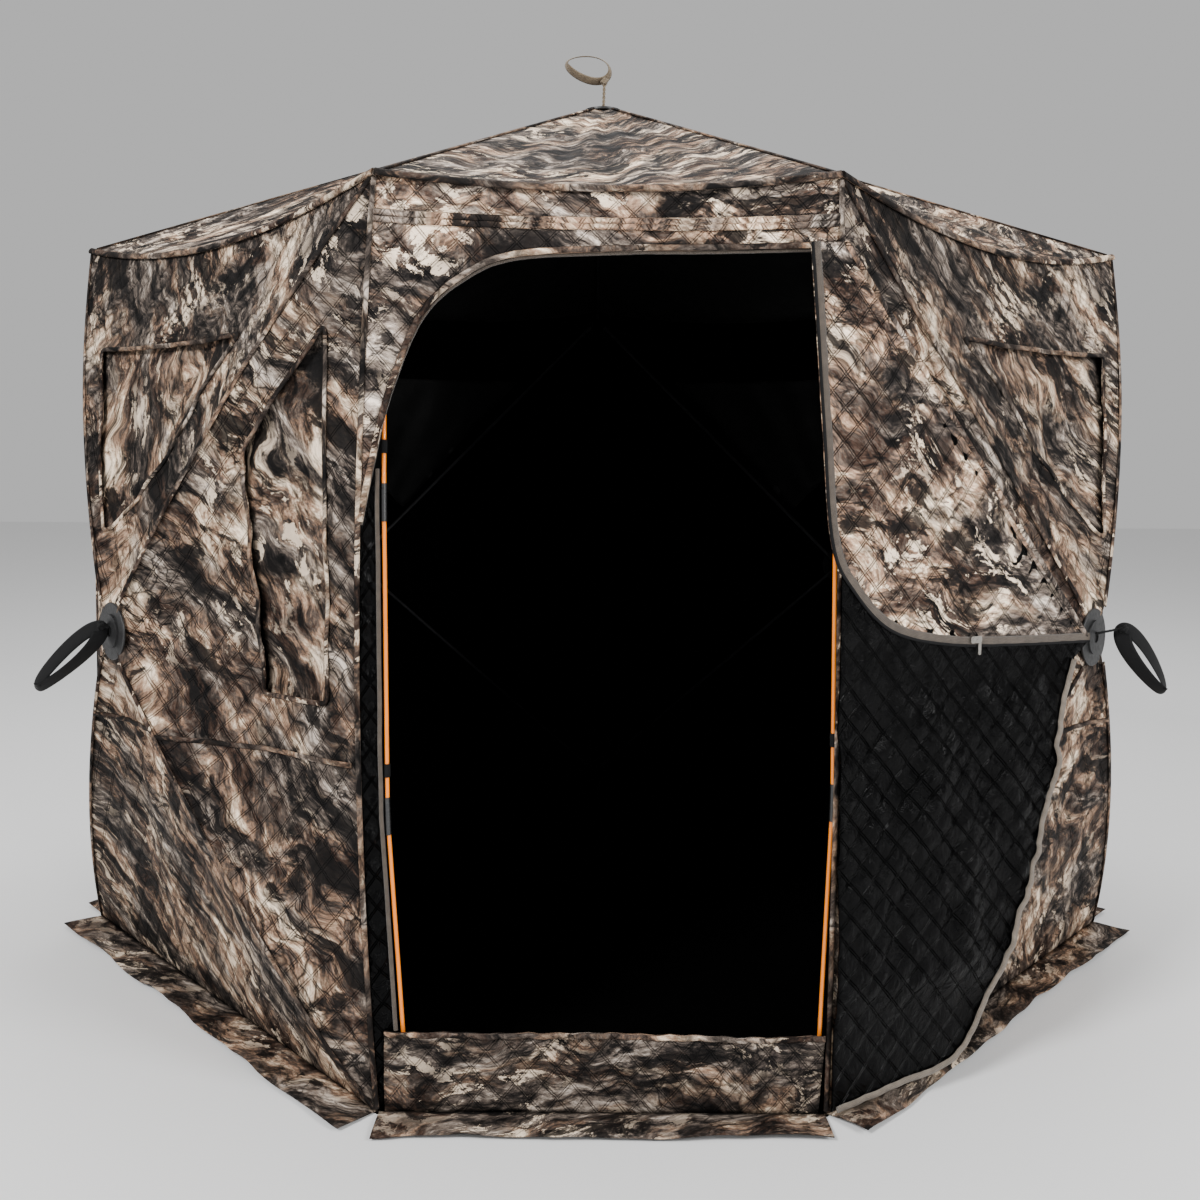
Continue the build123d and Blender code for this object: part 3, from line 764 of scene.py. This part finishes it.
arch = smooth_path([(0.467, 1.557), (0.256, 1.544), (0.165, 1.505), (0.095, 1.433), (0.045, 1.293), (0.022, 1.179), (0.0035, 1.072)], 34)
fp = front_place(0.0035, 51)
o = patch("header_cloth", [(0.0, 1.072), (0.0, H), (0.81, H), (0.806, 1.560)] + [tuple(p) for p in arch], [], STEP, fp)
both(o, M_HEAD, M_FILM)
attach(o, "root")
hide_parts("front_header")
edge = np.vstack([[(0.800, 1.560)], [(0.63, 1.5585)], arch])
edge = smooth_path(edge, 120)
p = fp(edge[:, 0], edge[:, 1])
p[:, 1] -= 0.002
s = tube("doorway_binding", p, 0.012, 0.006, (0, 1, 0), mat=M_SEAM)
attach(s, "root")
p2 = p + np.array([0, 0.004, 0])
p2[:, 2] -= 0.006
s = tube("doorway_zip_tape", p2, 0.010, 0.004, (0, 1, 0), mat=M_ZIP)
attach(s, "root")
for k, (z0, thick) in enumerate(((1.612, 0.006), (1.600, 0.004))):
    q = line((0.004, z0), (0.806, z0 - 0.004), 60)
    p = fp(q[:, 0], q[:, 1])
    p[:, 1] -= 0.003
    s = tube(f"header_welt_{k}", p, 0.012, thick, (0, 1, 0), mat=M_HEAD)
    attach(s, "root")

tp = front_place(0.005, 61, 0.0, 0.0, 0.006)
o = patch("threshold_cloth", [(0.014, 0.004), (0.796, 0.004), (0.803, 0.143), (0.024, 0.148)], [], STEP * 0.8, tp)
both(o, M_THRESH, M_BLACK)
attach(o, "root")
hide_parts("threshold_panel")
q = line((0.024, 0.147), (0.803, 0.142), 60)
p = tp(q[:, 0], q[:, 1])
p[:, 1] -= 0.002
p[:, 2] += 0.002 * vnoise(q[:, 0] * 14, q[:, 1], 4)
s = tube("threshold_binding", p, 0.012, 0.006, (0, 1, 0), mat=M_SEAM)
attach(s, "root")

PL = np.array([(-0.352, 0.012), (-0.388, 0.541), (-0.393, 1.105), (-0.391, 1.640)])
pole_x = lambda z: np.interp(z, PL[:, 1], PL[:, 0])


def jamb_place(x, z):
    """x runs 0 to 1 from the corner seam to the pole, scaled by the strip's nominal width."""
    x, z = np.asarray(x, float), np.asarray(z, float)
    s = np.clip(x / 0.05, 0, 1)
    bow = 0.034 * np.sin(np.pi * np.clip(z / H, 0, 1)) ** 0.8
    left = FL[0] - bow + 0.002
    right = pole_x(z) - 0.007
    p = np.empty((len(x), 3))
    p[:, 0] = left + (right - left) * s + 0.0015 * fbm(z * 9, z * 0 + 3, 5, 2) * s
    p[:, 1] = Y0 + 0.003 + 0.010 * s - 0.003 * fbm(x * 60, z * 22, 8, 3) * np.sin(np.pi * s) + 0.003 * np.sin(z * 110) * np.sin(np.pi * s)
    p[:, 2] = z
    return p


o = patch("jamb_lining", [(0.0, 0.004), (0.05, 0.004), (0.05, 1.165), (0.0, 1.165)], [], 0.008, jamb_place)
both(o, M_BLACK, M_FILM, 0.002)
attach(o, "root")
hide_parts("door_jamb_lining")
z = np.linspace(0.15, 1.165, 90)
p = np.stack([pole_x(z) - 0.011 + 0.001 * vnoise(z * 12, z * 0, 3), np.full_like(z, Y0 + 0.0075), z], 1)
s = tube("jamb_zip_tape", p, 0.008, 0.004, (0, 1, 0), mat=M_ZIP)
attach(s, "root")
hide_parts("door_zip_tape")

# ---------------------------------------------------------------- ground skirt
skirts = {"left": (LC, FL, 0.09), "right": (FR, RC, 0.09), "back_right": (RC, BC, 0.09), "back_left": (BC, LC, 0.09), "front": (FL, FR, 0.08)}
for i, (name, (a, b, wide)) in enumerate(skirts.items()):
    L = float(np.linalg.norm(b - a))
    u = (b - a) / L
    n = np.array([u[1], -u[0]])

    def sp(x, y, L=L, u=u, n=n, a=a, i=i, wide=wide):
        x, y = np.asarray(x, float), np.asarray(y, float)
        t = np.clip(y / wide, 0, 1)
        out = y + t * 0.005 * fbm(x * 8, x * 0 + i, 70 + i, 3)
        p = np.empty((len(x), 3))
        p[:, :2] = a[None] + u[None] * x[:, None] + n[None] * out[:, None]
        wave = 0.5 + 0.5 * fbm(x * 6 + i, y * 5, 77 + i, 3)
        p[:, 2] = 0.0045 + 0.016 * np.clip(wave, 0, 1.2) * t * (1.15 - 0.45 * t) + 0.018 * np.clip(1 - t / 0.12, 0, 1) * 0
        return p
    lo = 0.5 if name != "front" else 1
    o = patch(f"skirt_{name}", [(0.003, 0.001), (L - 0.003, 0.001), (L - 0.001 * lo, wide), (0.001 * lo, wide)], [], 0.014, sp)
    if o.data.polygons[0].normal.z < 0:
        o.data.flip_normals()
    both(o, M_SKIRT, M_FILM, 0.0016)
    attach(o, "root")
    if i == 0:
        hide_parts("ground_skirt")

# ---------------------------------------------------------------- door, folded open
HG = np.array([0.409, -1.0665])
DX = np.array([0.911571, 0.411142])
DN = np.array([0.411142, -0.911571])


def door_pt(x, z, out):
    p = np.empty((len(x), 3))
    p[:, :2] = HG[None] + DX[None] * x[:, None] + DN[None] * out[:, None]
    p[:, 2] = z
    return p


def panel_place(x, z):
    x, z = np.asarray(x, float), np.asarray(z, float)
    low = np.clip((0.80 - z) / 0.10, 0, 1)
    low = low * low * (3 - 2 * low)
    wr = 0.007 * fbm(x * 7, z * 5, 81, 4) + 0.005 * fbm(x * 24, z * 15, 85, 3)
    fold = 0.006 * np.sin(x * 26 + z * 6 + 2 * vnoise(x * 4, z * 3, 9))
    up = np.clip((z - 0.14) / 0.12, 0, 1)
    up = up * up * (3 - 2 * up)
    out = low * (quilt(x, z, 0.0025 + 0.0035 * up) + (wr + fold * 0.7) * (0.12 + 0.88 * up)) + 0.001
    t = np.clip(z / 0.829, 0, 1)
    out = out + 0.001 + 0.003 * up + up * low * 0.020 * 4 * t * (1 - t) * np.clip(x / 0.16, 0, 1) ** 0.8
    return door_pt(x, z, out)


panel = [(0.004, 0.017), (0.15, 0.036), (0.291, 0.060), (0.367, 0.183), (0.420, 0.312), (0.475, 0.50), (0.520, 0.690), (0.560, 0.800), (0.594, 0.829),
         (0.30, 1.1945), (0.004, 1.556)]
o = patch("door_lining", panel, [], 0.0105, panel_place)
both(o, M_BLACK, M_CAMO)
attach(o, "door")
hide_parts("door_panel")
hem = smooth_path([(0.012, 0.020), (0.15, 0.038), (0.287, 0.064), (0.364, 0.185), (0.417, 0.313), (0.472, 0.50), (0.517, 0.690), (0.556, 0.796)], 120)
p = panel_place(hem[:, 0], hem[:, 1])
p[:, :2] += DN[None] * 0.003
s = tube("door_hem", p, 0.013, 0.006, (DN[0], DN[1], 0), mat=M_HEM)
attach(s, "door")

FA, FB = np.array([0.0, 1.560]), np.array([0.600, 0.829])
rim = smooth_path([(-0.072, 1.556), (-0.062, 1.455), (-0.042, 1.24), (-0.020, 1.040), (0.027, 0.954), (0.113, 0.878), (0.247, 0.845), (0.42, 0.834), (0.594, 0.829)], 90)


def flap_place(x, z, lift=0.0):
    x, z = np.asarray(x, float), np.asarray(z, float)
    pts = np.stack([x, z], 1)
    d = np.full(len(x), 9.0)
    for i in range(0, len(rim) - 1):
        a, b = rim[i], rim[i + 1]
        e = b - a
        t = np.clip(((pts - a) @ e) / (e @ e), 0, 1)
        d = np.minimum(d, np.linalg.norm(pts - (a + t[:, None] * e), axis=1))
    nf = unit(np.array([-(FB - FA)[1], (FB - FA)[0]]))
    df = np.abs((pts - FA) @ nf)
    k = np.clip(np.minimum(d, df) / 0.09, 0, 1)
    k = k * k * (3 - 2 * k)
    wr = 0.007 * fbm(x * 6, z * 4, 91, 4) + 0.005 * np.sin((x * 0.6 - z) * 20 + 2 * vnoise(x * 3, z * 3, 4))
    out = 0.005 + k * (0.007 + 0.6 * wr) + quilt(x, z, 0.0036) * np.clip(np.minimum(d, df) / 0.02, 0, 1) + lift
    out = out + 0.002 * np.clip(1 - df / 0.02, 0, 1)
    return door_pt(x, z, out)


o = patch("door_flap_cloth", [tuple(p) for p in rim] + [tuple(FA + (FB - FA) * t) for t in (0.99, 0.75, 0.5, 0.25, 0.0)], [],
          0.0105, flap_place)
both(o, M_DOOR, M_BLACK)
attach(o, "door_corner")
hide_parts("door_flap")
inner = rim.copy()
c = rim.mean(0)
tan = np.gradient(rim, axis=0)
tan /= np.linalg.norm(tan, axis=1)[:, None]
nin = np.stack([-tan[:, 1], tan[:, 0]], 1)
p = flap_place(*(rim + nin * 0.008).T, lift=0.001)
s = tube("flap_zip_tape", p, 0.019, 0.004, (DN[0], DN[1], 0), mat=M_ZIP)
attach(s, "door_corner")
p = flap_place(*(rim + nin * 0.001).T, lift=0.0015)
s = tube("flap_zip_coil", p, 0.006, 0.005, (DN[0], DN[1], 0), mat=M_TAB)
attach(s, "door_corner")
t = np.linspace(0.0, 0.985, 70)[:, None]
q = FA + (FB - FA) * t
roll = door_pt(q[:, 0] - 0.002, q[:, 1], np.full(len(q), 0.0045))
s = tube("flap_fold_roll", roll, 0.012, 0.011, (DN[0], DN[1], 0), mat=M_DOOR)
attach(s, "door_corner")


# ---------------------------------------------------------------- pull straps
def lump(name, c, r, mat, seed):
    """A tied knot: one lumpy rounded ball."""
    co, fs = [], []
    nu, nv = 26, 16
    for i in range(nv + 1):
        for j in range(nu):
            th, ph = math.pi * i / nv, 2 * math.pi * j / nu
            rr = r * (1 + 0.16 * math.sin(3 * ph + 4 * th + seed) + 0.08 * math.sin(5 * th - 2 * ph))
            co.append((c[0] + rr * math.sin(th) * math.cos(ph), c[1] + rr * math.sin(th) * math.sin(ph), c[2] + rr * math.cos(th)))
    for i in range(nv):
        for j in range(nu):
            k = (j + 1) % nu
            fs.append((i * nu + j, (i + 1) * nu + j, (i + 1) * nu + k, i * nu + k))
    o = make(name, co, fs, np.array([[0.02 * math.atan2(p[1] - c[1], p[0] - c[0]), p[2]] for p in co]))
    o.data.materials.append(mat)
    return o


def strap(side, body, c, half, angle, wide, cordline, face, mat, seed):
    t = np.linspace(0, 2 * math.pi, 96, endpoint=False)
    ca, sa = math.cos(math.radians(angle)), math.sin(math.radians(angle))
    lx, lz = half[0] * np.cos(t), half[1] * np.sin(t)
    lz = lz * (1 + 0.25 * np.cos(t))
    x, z = c[0] + lx * ca - lz * sa, c[2] + lx * sa + lz * ca
    y = c[1] + 0.006 * np.sin(t + seed)
    nx, nz = np.cos(t) / half[0], np.sin(t) / half[1]
    ll = np.hypot(nx, nz)
    nx, nz = nx / ll, nz / ll
    rad = np.stack([nx * ca - nz * sa, np.zeros_like(t), nx * sa + nz * ca], 1)
    f = face * (0.75 + 0.25 * np.sin(t * 1.0 + seed))
    nor = rad * (1 - 0.55 * f)[:, None] + np.array([0, -1.0, 0])[None] * f[:, None] * np.sign(np.sin(t))[:, None] * 0 + np.array([0, -0.9, 0])[None] * f[:, None]
    o = tube(f"strap_loop_{side}", np.stack([x, y, z], 1), wide, 0.0028, nor, closed=True, mat=mat)
    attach(o, body)
    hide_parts(f"pull_strap_{side}")
    a, b = (np.array(v, float) for v in cordline)
    n = 26
    q = np.linspace(0, 1, n)
    for k in range(2):
        off = np.stack([0.0022 * np.cos(q * 22 + k * math.pi), 0.0022 * np.sin(q * 22 + k * math.pi), 0 * q], 1)
        s = tube(f"strap_cord_{side}_{k}", a + (b - a) * q[:, None] + off, 0.004, 0.004, (0.3, 0.2, 0.93) if abs(b[2] - a[2]) < 0.04 else (1, 0, 0), mat=mat)
        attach(s, body)
    s = lump(f"strap_knot_{side}", b, 0.009 if side != "left" else 0.008, mat, seed)
    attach(s, body)


sy = Y0 + 0.266
capout = OUT * 0.93 + 0.0095
strap("left", "hub_left", (-1.070, sy, 0.776), (0.086, 0.017), 42.8, 0.032,
      (walls["left"].row(walls["left"].mid, HUB_Z + 0.008, capout), (-1.003, sy, 0.842)), 1.0, M_STRAP, 0.4)
strap("right", "hub_right", (1.085, sy, 0.783), (0.072, 0.017), 123.7, 0.032,
      (walls["right"].row(walls["right"].mid, HUB_Z + 0.008, capout), (1.040, sy - 0.002, 0.849)), 1.0, M_STRAP, 1.9)
strap("roof", "hub_roof", (-0.036, PEAK[1], 2.132), (0.054, 0.026), -12, 0.025,
      ((0.002, PEAK[1], H + RISE * 0.95 + 0.0095), (0.004, PEAK[1], 2.100)), 0.5, M_STRAP2, 3.0)

# ---------------------------------------------------------------- CAD pieces that stay
for name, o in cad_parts.items():
    m = None
    if name == "door_poles":
        m = M_ORANGE
    elif name == "pole_ferrules":
        m = M_FERRULE
    elif name in ("pole_tabs", "corner_pockets"):
        m = M_TAB
    elif name.startswith("rod_pins"):
        m = M_PIN
    elif name.startswith("rod_"):
        m = M_ROD
    elif name.startswith("hub_"):
        m = M_HUB
    elif name == "zip_slider":
        m = M_ZMETAL
    if m:
        o.data.materials.clear()
        o.data.materials.append(m)
        if "cloth" not in o.data.uv_layers:
            lay = o.data.uv_layers.new(name="cloth")
            loops = np.zeros(len(o.data.loops), np.int32)
            o.data.loops.foreach_get("vertex_index", loops)
            co = np.zeros(len(o.data.vertices) * 3, np.float32)
            o.data.vertices.foreach_get("co", co)
            co = co.reshape(-1, 3)[loops]
            lay.data.foreach_set("uv", np.ascontiguousarray(np.stack([co[:, 0] + co[:, 1], co[:, 2]], 1)).ravel())

# ---------------------------------------------------------------- stage, light, camera
def stage_mesh(name, pts, mat):
    me = bpy.data.meshes.new(name)
    me.from_pydata(pts, [], [tuple(range(len(pts)))])
    o = bpy.data.objects.new(name, me)
    bpy.context.scene.collection.objects.link(o)
    o.data.materials.append(mat)
    return o


M_FLOOR = bpy.data.materials.new("floor_pale")
M_FLOOR.use_nodes = True
b = M_FLOOR.node_tree.nodes["Principled BSDF"]
b.inputs["Base Color"].default_value = (0.82, 0.82, 0.82, 1)
b.inputs["Roughness"].default_value = 0.9
stage_mesh("floor", [(-12, -8, 0), (12, -8, 0), (12, 14, 0), (-12, 14, 0)], M_FLOOR)
# painted shade: a near-black sheet on the floor inside the walls stands in for the shadow in the cabin
M_SHADE = bpy.data.materials.new("cabin_shade")
M_SHADE.use_nodes = True
b = M_SHADE.node_tree.nodes["Principled BSDF"]
b.inputs["Base Color"].default_value = (0.002, 0.002, 0.002, 1)
b.inputs["Roughness"].default_value = 1.0
b.inputs["Specular IOR Level"].default_value = 0.0
q = [(c[0] * 1.004, Y0 + SIDE + (c[1] - Y0 - SIDE) * 1.004, 0.001) for c in (FL, FR, RC, BC, LC)]
stage_mesh("cabin_ground", q, M_SHADE)


def area_light(name, loc, target, size, power):
    l = bpy.data.lights.new(name, "AREA")
    l.shape, l.size, l.energy = "SQUARE", size, power
    o = bpy.data.objects.new(name, l)
    o.location = loc
    o.rotation_euler = (Vector(target) - Vector(loc)).to_track_quat("-Z", "Y").to_euler()
    bpy.context.scene.collection.objects.link(o)


area_light("key", (-3.4, -4.6, 4.8), (0, -0.3, 0.9), 1.6, 430)
area_light("fill", (4.4, -3.6, 3.4), (0, -0.3, 0.9), 2.0, 230)
area_light("top", (0.2, 0.8, 5.5), (0, -0.2, 0.8), 3.5, 170)
area_light("rim", (2.6, -5.6, 1.2), (0.8, -1.0, 0.6), 0.6, 60)
world = bpy.data.worlds.new("studio")
bpy.context.scene.world = world
world.use_nodes = True
world.node_tree.nodes["Background"].inputs[0].default_value = (1, 1, 1, 1)
world.node_tree.nodes["Background"].inputs[1].default_value = 0.55

cam = bpy.data.cameras.new("camera")
cam.lens, cam.sensor_width, cam.sensor_fit = 34.6, 36.0, "HORIZONTAL"
cam.shift_x, cam.shift_y = 0.0113, -0.0823
cam.clip_end = 60
co = bpy.data.objects.new("camera", cam)
bpy.context.scene.collection.objects.link(co)
co.matrix_world = (Matrix.Translation((-0.0342, -3.0765, 1.2111)) @ Matrix.Rotation(math.pi / 2 - 0.05, 4, "X")
                   @ Matrix.Rotation(0.006, 4, "Z"))
bpy.context.scene.camera = co

bpy.context.view_layer.update()
